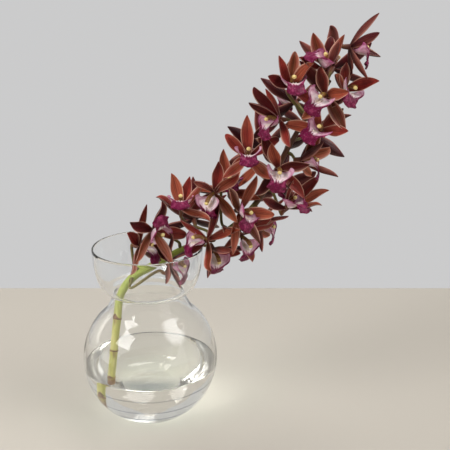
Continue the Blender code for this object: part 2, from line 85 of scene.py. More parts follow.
STEM_ROUTE = [               # x, y, z and radius in millimetres
    (-43, -19.5, 20, 4.6), (-42.5, -17, 42, 4.4), (-41, -13.5, 66, 4.3), (-38, -9, 92, 4.4),
    (-35, -4, 117, 4.4), (-31, -1, 142, 4.4), (-17, 0, 162, 4.5), (6, 0, 176, 4.3),
    (31, 0, 190.5, 3.9), (57, 0, 202.3, 3.6), (84, 0, 214, 3.4), (105, 0, 232, 3.2),
    (123, 0, 255, 3.0), (141, 0, 288, 2.8), (160, 0, 325, 2.5), (178, 0, 353, 2.2),
    (191, 0, 376, 1.9),
]
TEPALS = ("dorsal", "left_petal", "right_petal", "left_sepal", "right_sepal")
TEPAL_ARCH = 0.09            # how far a tepal bows back and how far its edges rise, as shares
TEPAL_FOLD = 0.34
HUB_RADIUS = 0.0034
PEDICEL_RADIUS = 0.0016
PEDICEL_STEPS = 4
OVARY = 0.006
COLUMN_LENGTH = 0.0185

# ---- the flowers, from the spike's tip down, all in millimetres and degrees ----
# The columns are hub, where the tepals join; leaves, x on the stem where the pedicel leaves it;
# faces, azimuth and elevation, azimuth 0 to the front and 90 to the right; roll, clockwise seen
# from the flower's front; then the tips of the TEPALS in their order, from the hub. The CAD source
# states the tips in whole millimetres, and may turn them aside to keep its solids apart; the other
# tips are where it puts those that it doesn't state.
FLOWERS = [dict(zip(("hub", "leaves", "faces", "roll", *TEPALS), row)) for row in (
    ((208, -4, 409), 191, (85, -3), 0, (26, -12, 33), (27, -18, 15), (34, 6, -10), (17, -18, -29),
     (8, 10, -30)),
    ((184, -20, 387), 190, (-20, 66), 60, (17, 5, 34), (5, 15, 36), (7, -22, 30), (-13, 10, 36),
     (-28, -10, 15)),
    ((149, -20, 371), 170, (10, 38), 0, (5, 14, 37), (-13, -11, 31), (20, -14, 25),
     (-23, -18, 14), (34.7, -10.8, -16.8)),
    ((184, -24, 364), 178, (-25, 0), 30, (-10, -9, 28), (-25.2, 8.8, 31.1), (17, -23, 6),
     (-24, -14, -22), (18, -10.7, -34.1)),
    ((204, -8, 367), 182, (30, 10), 35, (-1, -14, 28), (-12, -19, 17), (4, 18, 24),
     (-14, -20, -15), (31, -20, 11)),
    ((140, -16, 338), 163, (-55, 5), 0, (-33, -17, 19), (-31, -1, 32), (-14, 16, 29),
     (-28.5, 18.1, -21.6), (7.2, -32.9, -21.6)),
    ((181, -20, 328), 161, (-15, 20), 40, (23, 8, 20), (-14.7, 2.5, 38.2), (24, -20, 3),
     (-39.5, 2.8, 5.6), (-14, 10, -28)),
    ((139, -18, 288), 140, (0, -3), 10, (-9, -18, 29), (-16.5, -6.4, 37), (29, -19, 9),
     (-24, -21, -24), (26.3, -7.8, -29.2)),
    ((148, -10, 243), 127, (50, 48), 0, (36, 6, 35), (6, -14, 34), (45, 4, 21), (36, -17, 13),
     (-25, -20, 16)),
    ((99, -20, 243), 104, (40, 5), 35, (19, 0, 37), (-11.4, -25.6, 30), (37, -13, -1),
     (-6, -15, -42), (21.8, -7.6, -32.7)),
    ((73, -14, 262), 88, (-30, -30), 0, (5, -12, 34), (-20, -24, 17), (25, -17, 22),
     (-26.1, 17.1, -25.1), (23, -15.5, -28.8)),
    ((38, -12, 243), 56, (0, 62), 0, (9, 14, 31), (-9, 9, 36), (25, -4, 30), (-25, -7, 18),
     (30.9, -25.3, -2.9)),
    ((8, -20, 222), 38, (40, 0), 170, (20.4, -15.1, -33.5), (38.7, 9.9, -9.2),
     (-14.3, -27.5, -26.8), (15, -8, 32), (-19.4, -30.7, 16.9)),
    ((66, -24, 213), 75, (-60, 15), 10, (12, -2, 43), (-29, -2, 22), (33, -4, 13), (-26, -6, -14),
     (-2.1, -32, -23.9)),
    ((-8, -8, 201), -9, (60, 10), 0, (9, 0, 45), (-9, -11, 19), (26.6, 25.4, 18.2),
     (-2.8, -34.3, -20.3), (18.5, 26.7, -23.4)),
    ((24, -14, 185), -17, (70, -10), 0, (8, -10, 36), (-12, -10, 24), (30, -8, 16),
     (-2, -12, -21), (13, -8, -26)),
    ((71, -12, 199), 61, (30, -40), 0, (19.6, -36.2, 8.3), (3, 8, -24), (40.9, 2, -1.1),
     (-5, -17, -27), (30, 6, -8)),
    ((101, -8, 213), 98, (40, -30), 0, (36.6, -13.9, 15.2), (-18, -20, 14), (36.1, 6.9, 18.2),
     (-16.7, -18.9, -6.3), (15, -11, -28)),
    ((120, 16, 219), 114, (75, -10), 0, (29.2, -7.8, 29.2), (0.4, -32.9, 24.5), (34, 0, 7),
     (4, -33.5, -21.4), (14.7, 28.3, -24.2)),
    ((162, -4, 294), 148, (80, 0), 0, (24.9, 0.1, 33.8), (22, -22, 22), (37, 10, 9),
     (40, -11, -14), (16.3, 28.7, -22.6)),
    ((89, 10, 257), 104, (0, 60), 0, (11, 7, 37), (-8, 9, 43), (32, -2, 30), (-37.5, -13.4, 4.2),
     (31.1, -25.1, -1.8)),
    ((108, -8, 297), 132, (0, 40), 0, (-1, 4, 43), (-24, -2, 27), (33.6, 2.2, 23.4),
     (-25.5, -26.8, -15.2), (24, -27.6, -16.3)),
    ((196, 20, 385), 186, (150, 35), 0, (0.4, 0.6, 42), (33.4, -5.2, 23.2), (-29.8, 14.2, 24.4),
     (37.2, 4, -14.1), (-15.9, 34.6, -12.2)),
    ((158, 22, 350), 170, (205, 15), 0, (-6.4, 13.6, 39.2), (25.4, 25.8, 19.2),
     (-32.3, -8.6, 23.8), (19.9, 27.9, -20.6), (-35.2, 1.8, -19)),
    ((174, 22, 318), 156, (150, 10), 0, (9.2, 15.9, 37.7), (36.5, -4.5, 18.1), (-26, 24.9, 19.5),
     (33.4, -1.9, -22), (-20.1, 26.9, -21.7)),
    ((124, 22, 300), 144, (205, 20), 0, (-4.9, 10.5, 40.4), (26.1, 24.3, 20.3),
     (-31.4, -10.5, 24.2), (19.2, 29.5, -19), (-35.8, 3.2, -17.5)),
    ((142, 24, 258), 130, (150, 5), 0, (10.8, 18.7, 36), (38.4, 3.4, 14), (-23.5, 25, 22.4),
     (32.2, -4.7, -23.2), (-20.5, 26.8, -21.6)),
    ((50, 24, 220), 68, (195, 30), 0, (-1.1, 4.2, 41.8), (30.9, 15.8, 21.9), (-31.6, -9, 24.5),
     (23.2, 28.7, -15.5), (-35.4, 12.1, -14.1)),
)]


def smooth(points, per_span):
    """Points read from a Catmull-Rom curve through the given ones."""
    ends = [2 * points[0] - points[1], *points, 2 * points[-1] - points[-2]]
    route = []
    for a, b, c, d in zip(ends, ends[1:], ends[2:], ends[3:]):
        for step in range(per_span):
            t = step / per_span
            route.append(0.5 * (2 * b + (c - a) * t + (2 * a - 5 * b + 4 * c - d) * t ** 2
                                + (3 * b - a - 3 * c + d) * t ** 3))
    route.append(points[-1])
    return route


def stem_route(per_span):
    """The stem's centre line and its radius at each point."""
    knots = smooth([Vector(knot) * MM for knot in STEM_ROUTE], per_span)
    return [knot.xyz for knot in knots], [knot.w for knot in knots]


def stem_at(x):
    """The stem's centre, direction and radius where it reaches this x, above the vase's neck."""
    points, radii = stem_route(8)
    best = min(range(len(points) // 3, len(points)), key=lambda i: abs(points[i].x - x))
    return points[best], (points[best] - points[best - 1]).normalized(), radii[best]


def outer_profile():
    """(radius, height) from the rim down the cup, round the neck and the ball to the foot."""
    points = []
    for step in range(6):                    # the cup: about a quarter of an ellipse
        angle = math.radians(18 * step)
        points.append((NECK_RADIUS + (CUP_RADIUS - NECK_RADIUS) * math.cos(angle) ** 0.8,
                       CUP_HEIGHT - (CUP_HEIGHT - NECK_HEIGHT) * math.sin(angle)))
    top = math.radians(SHOULDER)
    shoulder = (BALL_RADIUS * math.cos(top), BALL_CENTRE + BALL_RADIUS * math.sin(top))
    for share in (0.35, 0.7):                # the neck's hollow
        points.append((NECK_RADIUS + (shoulder[0] - NECK_RADIUS) * share ** 1.6,
                       NECK_HEIGHT + (shoulder[1] - NECK_HEIGHT) * share))
    foot = -math.degrees(math.acos(FOOT_RADIUS / BALL_RADIUS))
    for step in range(BALL_STEPS + 1):
        angle = math.radians(SHOULDER + (foot - SHOULDER) * step / BALL_STEPS)
        points.append((BALL_RADIUS * math.cos(angle), BALL_CENTRE + BALL_RADIUS * math.sin(angle)))
    points[-1] = (FOOT_RADIUS, 0.0)
    return points


def flower_frame(flower):
    """Hub, the way the flower faces, its top and its right-hand side seen from the front."""
    azimuth, elevation = (math.radians(angle) for angle in flower["faces"])
    face = Vector((math.sin(azimuth) * math.cos(elevation),
                   -math.cos(azimuth) * math.cos(elevation), math.sin(elevation)))
    upright = (Vector((0, 0, 1)) - face * face.z).normalized()
    right = upright.cross(face)
    roll = math.radians(flower["roll"])
    top = upright * math.cos(roll) + right * math.sin(roll)
    return Vector(flower["hub"]) * MM, face, top, top.cross(face)


def tepal_axes(frame, tip):
    """A tepal's own directions: along it, towards the flower's front, and across it."""
    along = tip.normalized()
    inward = (frame[1] - along * frame[1].dot(along)).normalized()
    return along, inward, along.cross(inward)


def column_route(frame):
    """Centre line and radii of the arched column with its anther cap at the tip."""
    hub, face, top, _ = frame
    shape = [                  # share along, rise and radius in millimetres
        (0.205, 0.3, 1.5), (0.35, 1.5, 1.9), (0.60, 2.3, 2.2), (0.82, 1.9, 2.5), (0.95, 0.9, 2.1),
        (1.00, 0.4, 1.0),
    ]
    points = [hub + face * COLUMN_LENGTH * along + top * rise * MM for along, rise, _ in shape]
    return points, [radius * MM for _, _, radius in shape]


def pedicel_route(flower, frame):
    """Centre line and radii from the stem's skin to the hub, thicker at the ovary."""
    hub, face, _, _ = frame
    start, along, stem_radius = stem_at(flower["leaves"] * MM)
    reach = (hub - start).length
    out = hub - face * reach * 0.35 - start
    out = (out - along * out.dot(along)).normalized()
    begin = start + out * (stem_radius + 2 * GAP)
    points = smooth([begin, begin + out * reach * 0.18, hub - face * reach * 0.30,
                     hub - face * OVARY, hub, hub + face * HUB_RADIUS / 2], PEDICEL_STEPS)
    last = len(points) - 1
    radii = []
    for i in range(last + 1):
        swell = max(0.0, (i / last - 0.35) / 0.55) ** 1.2
        radii.append(PEDICEL_RADIUS + (HUB_RADIUS - PEDICEL_RADIUS) * swell)
    radii[-1] = HUB_RADIUS * 0.72
    radii[-2] = HUB_RADIUS
    return points, radii


# ================================================================ materials

def shader_of(name, roughness):
    """A material, its node tree and its Principled shader."""
    made = bpy.data.materials.new(name)
    made.use_nodes = True
    tree = made.node_tree
    shader = tree.nodes["Principled BSDF"]
    shader.inputs["Roughness"].default_value = roughness
    return made, tree, shader


def value(tree, operation, first, second=0.0):
    """A Math node's output; either operand may be a number or another node's output."""
    node = tree.nodes.new("ShaderNodeMath")
    node.operation = operation
    for socket, operand in zip(node.inputs, (first, second)):
        if isinstance(operand, (int, float)):
            socket.default_value = operand
        else:
            tree.links.new(operand, socket)
    return node.outputs[0]


def plus(tree, first, second):
    return value(tree, "ADD", first, second)


def times(tree, first, second):
    return value(tree, "MULTIPLY", first, second)


def swing(tree, pattern, reach):
    """How far a pattern is from its middle value, times reach."""
    return times(tree, value(tree, "SUBTRACT", pattern, 0.5), reach)


def distance(tree, source, level):
    return value(tree, "ABSOLUTE", value(tree, "SUBTRACT", source, level))


def axes(tree, vector):
    """A vector's X, Y and Z."""
    split = tree.nodes.new("ShaderNodeSeparateXYZ")
    tree.links.new(vector, split.inputs[0])
    return split.outputs["X"], split.outputs["Y"], split.outputs["Z"]


def object_place(tree):
    return tree.nodes.new("ShaderNodeTexCoord").outputs["Object"]


def fade(tree, source, low, high, start=0.0, end=1.0):
    """Source taken smoothly from start to end while it goes from low to high."""
    node = tree.nodes.new("ShaderNodeMapRange")
    node.interpolation_type = "SMOOTHSTEP"
    tree.links.new(source, node.inputs["Value"])
    for name, number in (("From Min", low), ("From Max", high), ("To Min", start), ("To Max", end)):
        node.inputs[name].default_value = number
    return node.outputs["Result"]


def blended(tree, share, first, second):
    """A colour between two, each a colour or another node's output."""
    node = tree.nodes.new("ShaderNodeMix")
    node.data_type = "RGBA"
    tree.links.new(share, node.inputs["Factor"])
    for socket, colour in ((node.inputs[6], first), (node.inputs[7], second)):
        if isinstance(colour, tuple):
            socket.default_value = (*colour, 1.0)
        else:
            tree.links.new(colour, socket)
    return node.outputs[2]


def noise(tree, scale, detail=3.0, stretch=None, source=None):
    """A noise pattern in object space, or over source; stretch is a scale for each axis."""
    place = source or object_place(tree)
    if stretch:
        turn = tree.nodes.new("ShaderNodeMapping")
        turn.inputs["Scale"].default_value = stretch
        tree.links.new(place, turn.inputs["Vector"])
        place = turn.outputs["Vector"]
    node = tree.nodes.new("ShaderNodeTexNoise")
    node.inputs["Scale"].default_value = scale
    node.inputs["Detail"].default_value = detail
    tree.links.new(place, node.inputs["Vector"])
    return node.outputs["Fac"]


def shape_map(tree, title="petal"):
    """One of a shape's own maps: its vector, u and v."""
    node = tree.nodes.new("ShaderNodeUVMap")
    node.uv_map = title
    u, v, _ = axes(tree, node.outputs["UV"])
    return node.outputs["UV"], u, v


def bump(tree, shader, height, depth):
    node = tree.nodes.new("ShaderNodeBump")
    node.inputs["Distance"].default_value = depth
    tree.links.new(height, node.inputs["Height"])
    tree.links.new(node.outputs["Normal"], shader.inputs["Normal"])


def glow_within(shader, weight, radius, scale):
    """Light that spreads inside the tissue: its share, its reach for each colour, and a scale."""
    shader.inputs["Subsurface Weight"].default_value = weight
    shader.inputs["Subsurface Radius"].default_value = radius
    shader.inputs["Subsurface Scale"].default_value = scale


def veins(tree, u, count, wobble):
    """Lines that run along a petal, count across it: 0 between them and 1 on them."""
    wave = value(tree, "SINE", plus(tree, times(tree, u, 2 * math.pi * count), wobble))
    return value(tree, "POWER", plus(tree, times(tree, wave, 0.5), 0.5), 2.0)


def across_share(tree, u):
    """0 on a petal's middle line and 1 on its rims."""
    return distance(tree, times(tree, u, 2.0), 1.0)


TISSUE_BUMP = 0.00018        # depth of the veins' relief on tepals and lips


def tepal_material(name, tan, red, dark, olive, vein, rim, rim_share):
    """Waxy red-brown tissue. Each tepal has its own tone between tan, red and dark; all are
    darker at the hub, with parallel veins, a darker middle line and a pale rim."""
    made, tree, shader = shader_of(name, 0.40)
    where, u, v = shape_map(tree)
    _, tone, other = shape_map(tree, "tone")
    patches = noise(tree, 55.0, 3.0)
    streaks = noise(tree, 1.0, 4.0, stretch=(26.0, 2.2, 1.0), source=where)
    side = across_share(tree, u)
    drift = swing(tree, patches, 0.9)
    shade = plus(tree, tone, drift)
    colour = blended(tree, fade(tree, shade, 0.10, 0.48), dark, red)
    colour = blended(tree, fade(tree, shade, 0.50, 0.92, 0.0, 0.85), colour, tan)
    reach = plus(tree, v, drift)
    colour = blended(tree, fade(tree, reach, 0.02, 0.42, 0.85, 0.0), colour, dark)
    middle = times(tree, fade(tree, side, 0.15, 0.75, 1.0, 0.0),
                   fade(tree, other, 0.45, 0.80, 0.0, 0.55))
    colour = blended(tree, middle, colour, olive)
    flush = times(tree, fade(tree, side, 0.45, 0.95), fade(tree, other, 0.2, 0.8, 0.06, 0.42))
    colour = blended(tree, flush, colour, rim)
    lines = veins(tree, u, 7, times(tree, streaks, 5.0))
    deep = times(tree, lines, fade(tree, streaks, 0.35, 0.70, 0.10, 0.65))
    colour = blended(tree, deep, colour, vein)
    colour = blended(tree, fade(tree, side, 0.0, 0.10, 0.55, 0.0), colour, vein)
    edge = fade(tree, side, 0.80, 0.92, 0.0, rim_share)
    colour = blended(tree, edge, colour, rim)
    tree.links.new(colour, shader.inputs["Base Color"])
    tree.links.new(fade(tree, streaks, 0.3, 0.7, 0.30, 0.44), shader.inputs["Roughness"])
    bump(tree, shader, plus(tree, lines, streaks), TISSUE_BUMP)
    shader.inputs["Specular IOR Level"].default_value = 0.24
    glow_within(shader, 0.05, (1.0, 0.15, 0.08), 0.0012)
    return made


def lip_material():
    """White throat, pink side lobes with magenta veins, and a deep magenta front lobe that is
    mottled and speckled with white."""
    made, tree, shader = shader_of("lip_tissue", 0.40)
    where, u, v = shape_map(tree)
    _, tone, _ = shape_map(tree, "tone")
    side = across_share(tree, u)
    wander = noise(tree, 1.0, 4.0, stretch=(9.0, 6.0, 1.0), source=where)
    clouds = noise(tree, 170.0, 3.0)
    fine = noise(tree, 900.0, 2.0)
    flush = plus(tree, plus(tree, side, swing(tree, clouds, 1.1)), swing(tree, tone, 0.5))
    pale = blended(tree, fade(tree, flush, 0.22, 0.75), (0.86, 0.72, 0.74), (0.68, 0.37, 0.49))
    pale = blended(tree, fade(tree, flush, 0.80, 1.20), pale, (0.42, 0.10, 0.23))
    fan = plus(tree, times(tree, v, 14.0), times(tree, wander, 4.0))
    lines = veins(tree, u, 8, fan)
    tint = times(tree, lines, fade(tree, side, 0.30, 0.95, 0.05, 0.50))
    colour = blended(tree, tint, pale, (0.34, 0.04, 0.15))
    cells = tree.nodes.new("ShaderNodeTexVoronoi")
    cells.inputs["Scale"].default_value = 560.0
    spots = fade(tree, cells.outputs["Distance"], 0.25, 0.50)
    deep = blended(tree, spots, (0.032, 0.0006, 0.009), (0.160, 0.003, 0.043))
    deep = blended(tree, fade(tree, clouds, 0.50, 0.66, 0.0, 0.75), deep, (0.32, 0.042, 0.115))
    deep = blended(tree, fade(tree, fine, 0.64, 0.72, 0.0, 0.50), deep, (0.55, 0.22, 0.33))
    front = plus(tree, plus(tree, v, swing(tree, wander, 0.50)), times(tree, side, 0.10))
    colour = blended(tree, fade(tree, front, 0.54, 0.68), colour, deep)
    tree.links.new(colour, shader.inputs["Base Color"])
    tree.links.new(fade(tree, wander, 0.3, 0.7, 0.32, 0.50), shader.inputs["Roughness"])
    bump(tree, shader, plus(tree, lines, fine), TISSUE_BUMP)
    shader.inputs["Specular IOR Level"].default_value = 0.25
    glow_within(shader, 0.15, (1.0, 0.45, 0.55), 0.0015)
    return made


def waxy_material(name, first, second, scale, roughness=0.4):
    """Two colours of living tissue in soft patches, with a fine grain."""
    made, tree, shader = shader_of(name, roughness)
    patches = noise(tree, scale, 4.0)
    grain = noise(tree, scale * 9, 2.0)
    colour = blended(tree, fade(tree, patches, 0.38, 0.62), first, second)
    tree.links.new(colour, shader.inputs["Base Color"])
    shine = fade(tree, grain, 0.3, 0.7, roughness - 0.07, roughness + 0.07)
    tree.links.new(shine, shader.inputs["Roughness"])
    bump(tree, shader, grain, 0.0001)
    return made


def pedicel_material():
    """Olive at the stem, then maroon-brown ribs towards the flower."""
    made, tree, shader = shader_of("pedicel_skin", 0.42)
    where, _, v = shape_map(tree)
    streaks = noise(tree, 1.0, 4.0, stretch=(18.0, 3.0, 1.0), source=where)
    reach = plus(tree, v, swing(tree, streaks, 0.6))
    colour = blended(tree, fade(tree, reach, 0.20, 0.70),
                     (0.16, 0.135, 0.035), (0.15, 0.050, 0.024))
    colour = blended(tree, fade(tree, reach, 0.55, 0.95), colour, (0.10, 0.018, 0.014))
    tree.links.new(colour, shader.inputs["Base Color"])
    bump(tree, shader, streaks, 0.0002)
    return made


def stem_material():
    """Yellow-green below, fresh green at the neck, maroon-brown in the spike, brown at the cut."""
    made, tree, shader = shader_of("stem_skin", 0.38)
    _, _, height = axes(tree, object_place(tree))
    streaks = noise(tree, 160.0, 4.0, stretch=(1.0, 1.0, 0.10))
    patches = noise(tree, 60.0, 3.0)
    rise = plus(tree, height, swing(tree, patches, 0.05))
    colour = blended(tree, fade(tree, streaks, 0.35, 0.68),
                     (0.335, 0.315, 0.070), (0.465, 0.420, 0.160))
    colour = blended(tree, fade(tree, rise, 0.100, 0.165), colour, (0.30, 0.35, 0.06))
    colour = blended(tree, fade(tree, rise, 0.205, 0.262), colour, (0.125, 0.045, 0.022))
    colour = blended(tree, fade(tree, patches, 0.60, 0.74, 0.0, 0.35), colour, (0.20, 0.13, 0.03))
    for level, _ in SHEATHS:
        away = distance(tree, height, level - 0.002)
        scar = times(tree, fade(tree, away, 0.001, 0.007, 0.8, 0.0),
                     fade(tree, streaks, 0.42, 0.60))
        colour = blended(tree, scar, colour, (0.17, 0.11, 0.03))
    foot = fade(tree, plus(tree, height, times(tree, streaks, 0.008)), 0.033, 0.042, 1.0, 0.0)
    colour = blended(tree, foot, colour, (0.17, 0.075, 0.028))
    tree.links.new(colour, shader.inputs["Base Color"])
    tree.links.new(fade(tree, streaks, 0.3, 0.7, 0.32, 0.48), shader.inputs["Roughness"])
    bump(tree, shader, streaks, 0.0003)
    glow_within(shader, 0.08, (0.6, 0.8, 0.2), 0.002)
    return made


PAINTED_BAND_TINT = (0.20, 0.25, 0.33)               # what the glass tends to at a painted band of shade
PAINTED_GLASS_BANDS = [              # height, half width and strength of the painted bands of shade round the front
    (0.0100, 0.0032, 0.95), (0.0205, 0.0020, 0.85), (0.0330, 0.0012, 0.55), (0.0500, 0.0012, 0.50),
]


def clear_material(name, ior, tint, shade, wave_scale, wave_depth, lines=()):
    """Clear glass or water that lets the lamps' light through.

    tint colours it and shade its shadow. lines are painted dark bands of shade, standing in for the
    dark arcs that thick glass refracts, round its front: the height, half width and strength of
    each.
    """
    made, tree, shader = shader_of(name, 0.0)
    shader.inputs["IOR"].default_value = ior
    shader.inputs["Transmission Weight"].default_value = 1.0
    waves = noise(tree, wave_scale, 2.0)
    _, depth, rise = axes(tree, object_place(tree))
    height = plus(tree, rise, times(tree, waves, 0.003))
    wave_tint_and_painted_bands = times(tree, waves, 0.04)
    # painted shade: the dark bands darken only the side of the glass towards the camera
    front = fade(tree, depth, -0.02, 0.01, 1.0, 0.0)
    for level, half, strength in lines:
        painted_band = fade(tree, distance(tree, height, level), 0.0, half, strength, 0.0)
        wave_tint_and_painted_bands = plus(tree, wave_tint_and_painted_bands, times(tree, painted_band, front))
    tree.links.new(blended(tree, wave_tint_and_painted_bands, tint, PAINTED_BAND_TINT), shader.inputs["Base Color"])
    smears = fade(tree, noise(tree, 40.0, 5.0), 0.5, 0.8, 0.0, 0.03)
    tree.links.new(smears, shader.inputs["Roughness"])
    bump(tree, shader, waves, wave_depth)
    through = tree.nodes.new("ShaderNodeBsdfTransparent")
    through.inputs["Color"].default_value = (*shade, 1.0)
    path = tree.nodes.new("ShaderNodeLightPath")
    mix = tree.nodes.new("ShaderNodeMixShader")
    tree.links.new(path.outputs["Is Shadow Ray"], mix.inputs[0])
    tree.links.new(shader.outputs[0], mix.inputs[1])
    tree.links.new(through.outputs[0], mix.inputs[2])
    tree.links.new(mix.outputs[0], tree.nodes["Material Output"].inputs["Surface"])
    return made


# ================================================================ shapes

class Shape:
    """Closed shells gathered into one mesh, mapped with u across or around and v along each."""

    def __init__(self):
        self.verts = []
        self.faces = []
        self.uvs = []
        self.slots = []
        self.tones = []
        self.tone = (0.5, 0.5)

    def face(self, corners, uvs, slot):
        self.faces.append(corners)
        self.uvs.extend(uvs)
        self.tones.extend([self.tone] * len(corners))
        self.slots.append(slot)

    def loft(self, rings, around, along, slots, flat):
        """Join closed rings in order and close both ends.

        around holds u at each point and at the seam, along v at each ring, and slots the material
        of each strip. A flat ring runs over the front and back over the rear, and its ends are
        closed by joining the two; a round one is closed by a fan.
        """
        first, count = len(self.verts), len(rings[0])
        for ring in rings:
            self.verts.extend(ring)
        for r in range(len(rings) - 1):
            low, high = first + r * count, first + (r + 1) * count
            for k in range(count):
                n = (k + 1) % count
                self.face((low + k, low + n, high + n, high + k),
                          [(around[k], along[r]), (around[k + 1], along[r]),
                           (around[k + 1], along[r + 1]), (around[k], along[r + 1])], slots[k])
        for ring, v in ((0, along[0]), (len(rings) - 1, along[-1])):
            start = first + ring * count
            if flat:
                self.close_flat(start, count, around, v, slots)
            else:
                self.close_fan(start, count, rings[ring], around, v, slots)

    def close_flat(self, start, count, around, v, slots):
        for k in range(count // 2):
            corners = [k, k + 1, (count - k - 1) % count, (count - k) % count]
            corners = list(dict.fromkeys(corners))
            self.face(tuple(start + c for c in corners),
                      [(around[c], v) for c in corners], slots[k])

    def close_fan(self, start, count, ring, around, v, slots):
        middle = len(self.verts)
        self.verts.append(sum(ring, Vector()) / count)
        for k in range(count):
            self.face((start + k, start + (k + 1) % count, middle),
                      [(around[k], v), (around[k + 1], v), (around[k], v)], slots[k])


def show(piece, slot, *nodes):
    """Link a piece, let it ride on the one body, and hide the CAD nodes it stands for."""
    bpy.context.scene.collection.objects.link(piece)
    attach(piece, "root")
    if nodes:
        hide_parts(*nodes)
    return piece


def piece_of(name, shape, materials, slot, *nodes):
    """A shape as one smooth mesh piece with its two maps and a level of subdivision."""
    mesh = bpy.data.meshes.new(name)
    mesh.from_pydata(shape.verts, [], shape.faces)
    for title, places in (("petal", shape.uvs), ("tone", shape.tones)):
        layer = mesh.uv_layers.new(name=title)
        for corner, uv in zip(layer.uv, places):
            corner.vector = uv
    for polygon, index in zip(mesh.polygons, shape.slots):
        polygon.material_index = index
        polygon.use_smooth = True
    bm = bmesh.new()
    bm.from_mesh(mesh)
    bmesh.ops.recalc_face_normals(bm, faces=bm.faces)
    bm.to_mesh(mesh)
    bm.free()
    for made in materials:
        mesh.materials.append(made)
    piece = show(bpy.data.objects.new(name, mesh), slot, *nodes)
    fine = piece.modifiers.new("fine", "SUBSURF")
    fine.levels = 1
    fine.render_levels = 1


def tangents(points):
    last = len(points) - 1
    return [(points[min(i + 1, last)] - points[max(i - 1, 0)]).normalized()
            for i in range(last + 1)]


def rod(shape, points, radii, slot=0, sides=12, ribs=0, rib_height=0.0):
    """A round rod along points; ribs run along it."""
    rings = []
    first = tangents(points)[0].orthogonal().normalized()
    for point, along, radius in zip(points, tangents(points), radii):
        first = (first - along * first.dot(along)).normalized()
        second = along.cross(first)
        ring = []
        for k in range(sides):
            angle = 2 * math.pi * k / sides
            size = radius * (1 + rib_height * math.cos(ribs * angle))
            ring.append(point + (first * math.cos(angle) + second * math.sin(angle)) * size)
        rings.append(ring)
    last = len(points) - 1
    shape.loft(rings, [k / sides for k in range(sides + 1)], [i / last for i in range(last + 1)],
               [slot] * sides, flat=False)


def blade(shape, centres, lifts, halves, thick, fold, face_slot, back_slot, columns=8,
          groove=0.0, keel=0.0):
    """A thin leaf of tissue along centres: its face towards lifts, its edges raised by fold, with a
    groove along its face and a keel along its back."""
    steps = [-math.cos(math.pi * c / columns) for c in range(columns + 1)]
    rings = []
    for centre, along, lift, half in zip(centres, tangents(centres), lifts, halves):
        lift = (lift - along * lift.dot(along)).normalized()
        across = along.cross(lift)
        front, rear = [], []
        for side in steps:
            middle = centre + across * half * side + lift * fold * half * side * side
            flesh = thick / 2 * math.sqrt(max(0.0, 1 - side ** 4)) * min(1.0, 0.35 + half / 0.004)
            ridge = math.exp(-(side / 0.16) ** 2) * min(1.0, half / 0.003)
            front.append(middle + lift * (flesh - groove * ridge))
            rear.append(middle - lift * (flesh + keel * ridge))
        rings.append(front + rear[-2:0:-1])
    us = [(side + 1) / 2 for side in steps]
    around = us + us[-2:0:-1] + [us[0]]
    last = len(centres) - 1
    shape.loft(rings, around, [i / last for i in range(last + 1)],
               [face_slot] * columns + [back_slot] * columns, flat=True)


# ================================================================ the flowers

LOOSE_LIPS = 22              # further back the lip is part of the flower's one CAD solid
TEPAL_ROWS_FINE = 16
FULL_WIDTH = 0.0138          # a tepal spread flat; its edges rise, so it looks narrower
FRONT_GROWTH = 1.03          # a tepal's length in shares of the CAD's
REAR_GROWTH = 1.16
HANGING_FLOWER = -17         # where the flower that hangs into the cup leaves the stem
HANGING_SAG = 0.0155         # how far its stalk bows down
FACE, BACK, SKIN, COLUMN = range(4)          # material slots of a bloom
WIDEST = 0.55                # shares of the way along a tepal: where it is widest,
BEND = 0.70                  # where its tip begins to bend
BLUNT = 0.992                # and where its last row stands
TEPAL_THICK = 0.00095
TEPAL_GROOVE = 0.00020
TEPAL_KEEL = 0.00045
CURLED_SHARE = 0.30          # share of the tepals whose tip curls right over


def fine_share(t):
    """Half width of a tepal along its length; the CAD's shape with a sharper tip."""
    if t < WIDEST:
        return 0.24 + 0.76 * math.sin(math.pi / 2 * t / WIDEST)
    return (1 - ((t - WIDEST) / (1 - WIDEST)) ** 1.6) ** 0.84


def add_tepal(shape, place, tip, habit, growth):
    """One sepal or petal along the CAD's route, with the habit's own cupping, twist and tip."""
    hub = place[0]
    along, inward, across = tepal_axes(place, tip)
    tip = tip * growth
    length = tip.length
    shape.tone = (habit.random(), habit.random())
    cup = habit.uniform(1.1, 2.6)
    twist = math.radians(habit.uniform(-38, 38))
    wide = habit.uniform(0.88, 1.06)
    curl, sweep = habit.uniform(-0.02, 0.05), habit.uniform(-0.05, 0.05)
    if habit.random() < CURLED_SHARE:
        curl = habit.uniform(0.12, 0.20)
    centres, lifts, halves = [], [], []
    for row in range(TEPAL_ROWS_FINE + 1):
        t = min(row / TEPAL_ROWS_FINE, BLUNT)
        late = max(0.0, (t - BEND) / 0.30) ** 2
        centres.append(hub + tip * t - inward * TEPAL_ARCH * length * math.sin(math.pi * t)
                       + (across * sweep - inward * curl - along * curl * 0.6) * length * late)
        lifts.append(inward * math.cos(twist * t) + across * math.sin(twist * t))
        halves.append(FULL_WIDTH / 2 * wide * fine_share(t))
    blade(shape, centres, lifts, halves, TEPAL_THICK, TEPAL_FOLD * cup, FACE, BACK,
          groove=TEPAL_GROOVE, keel=TEPAL_KEEL)


